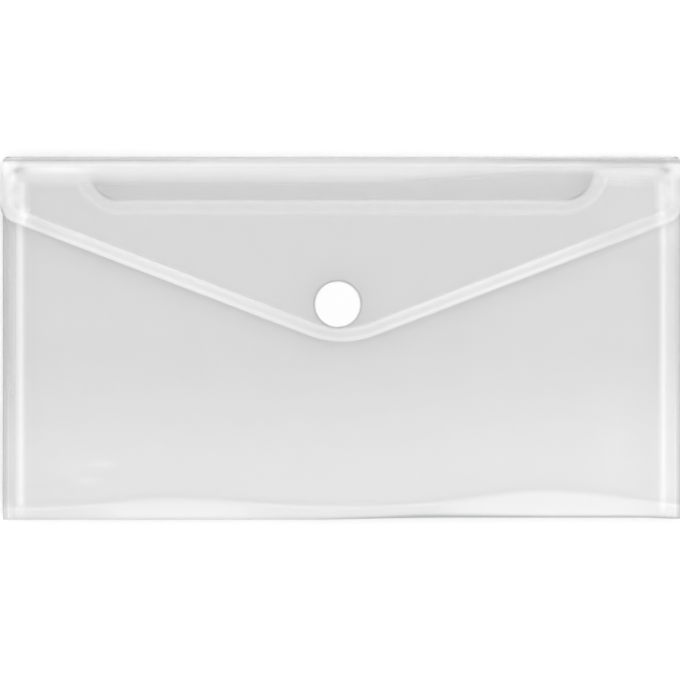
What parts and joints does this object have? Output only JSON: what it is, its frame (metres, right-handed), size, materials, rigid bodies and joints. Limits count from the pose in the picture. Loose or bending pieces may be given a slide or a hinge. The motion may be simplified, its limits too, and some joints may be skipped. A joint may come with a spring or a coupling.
{
  "type": "document wallet",
  "caption": "Clear plastic landscape wallet for folded papers, with side gussets, a finger cut-out and a pointed flap that closes on a round hook-and-loop dot.",
  "frame": {"origin": "middle of the footprint, on the underside of the back panel", "axes": "+X along the width to the right, +Y towards the top fold, +Z from the back panel to the flap"},
  "size_m": [0.252, 0.134, 0.0084],
  "materials": {
    "clear_sheet": "clear polypropylene sheet, slightly hazy",
    "adhesive": "white self-adhesive layer",
    "hook_tape": "white moulded hook tape",
    "loop_tape": "white napped loop fabric"
  },
  "bodies": {
    "back": {"back_panel": "clear_sheet", "left_rear_flange": "clear_sheet", "right_rear_flange": "clear_sheet"},
    "hinge_1": {"hinge_strip_1": "clear_sheet"},
    "hinge_2": {"hinge_strip_2": "clear_sheet"},
    "flap": {"flap_panel": "clear_sheet", "hook_adhesive": "adhesive", "hook_tape": "hook_tape"},
    "front": {"front_panel": "clear_sheet", "left_front_flange": "clear_sheet", "right_front_flange": "clear_sheet", "loop_adhesive": "adhesive", "loop_backing": "loop_tape", "loop_pile": "loop_tape"},
    "left_gusset_rear": {"left_gusset_rear": "clear_sheet"},
    "left_gusset_front": {"left_gusset_front": "clear_sheet"},
    "right_gusset_rear": {"right_gusset_rear": "clear_sheet"},
    "right_gusset_front": {"right_gusset_front": "clear_sheet"},
    "bottom_fold_rear": {"bottom_fold_rear": "clear_sheet"},
    "bottom_fold_front": {"bottom_fold_front": "clear_sheet"}
  },
  "joints": [
    {"name": "flap_fold_1", "type": "hinge", "parent": "back", "child": "hinge_1", "pos_m": [0, 0.06462, 0.00015], "axis": [-1, 0, 0], "range_deg": [0, 60]},
    {"name": "flap_fold_2", "type": "hinge", "parent": "hinge_1", "child": "hinge_2", "pos_m": [0, 0.06693, 0.00415], "axis": [-1, 0, 0], "range_deg": [0, 60]},
    {"name": "flap_fold_3", "type": "hinge", "parent": "hinge_2", "child": "flap", "pos_m": [0, 0.06462, 0.00815], "axis": [-1, 0, 0], "range_deg": [0, 60]},
    {"name": "pocket_press", "type": "slide", "parent": "back", "child": "front", "axis": [0, 0, 1], "range_m": [-0.0042, 0], "stiffness_N_per_m": 60, "springref_m": 0.006},
    {"name": "left_gusset_rear_fold", "type": "hinge", "parent": "back", "child": "left_gusset_rear", "pos_m": [-0.123, 0, 0.00045], "axis": [0, -1, 0], "range_deg": [-25, 0]},
    {"name": "left_gusset_front_fold", "type": "hinge", "parent": "front", "child": "left_gusset_front", "pos_m": [-0.123, 0, 0.00515], "axis": [0, 1, 0], "range_deg": [-25, 0]},
    {"name": "right_gusset_rear_fold", "type": "hinge", "parent": "back", "child": "right_gusset_rear", "pos_m": [0.123, 0, 0.00045], "axis": [0, 1, 0], "range_deg": [-25, 0]},
    {"name": "right_gusset_front_fold", "type": "hinge", "parent": "front", "child": "right_gusset_front", "pos_m": [0.123, 0, 0.00515], "axis": [0, -1, 0], "range_deg": [-25, 0]},
    {"name": "bottom_rear_fold", "type": "hinge", "parent": "back", "child": "bottom_fold_rear", "pos_m": [0, -0.06091, 0.00015], "axis": [-1, 0, 0], "range_deg": [-19.05, 0]},
    {"name": "bottom_front_fold", "type": "hinge", "parent": "front", "child": "bottom_fold_front", "pos_m": [0, -0.06091, 0.00545], "axis": [1, 0, 0], "range_deg": [-19.05, 0]}
  ],
  "couplings": [
    {"joint": "flap_fold_2", "follows": "flap_fold_1", "ratio": 1},
    {"joint": "flap_fold_3", "follows": "flap_fold_1", "ratio": 1},
    {"joint": "left_gusset_rear_fold", "follows": "pocket_press", "rad_per_m": 103.85},
    {"joint": "left_gusset_front_fold", "follows": "pocket_press", "rad_per_m": 103.85},
    {"joint": "right_gusset_rear_fold", "follows": "pocket_press", "rad_per_m": 103.85},
    {"joint": "right_gusset_front_fold", "follows": "pocket_press", "rad_per_m": 103.85},
    {"joint": "bottom_rear_fold", "follows": "pocket_press", "rad_per_m": 79.12},
    {"joint": "bottom_front_fold", "follows": "pocket_press", "rad_per_m": 79.12}
  ]
}
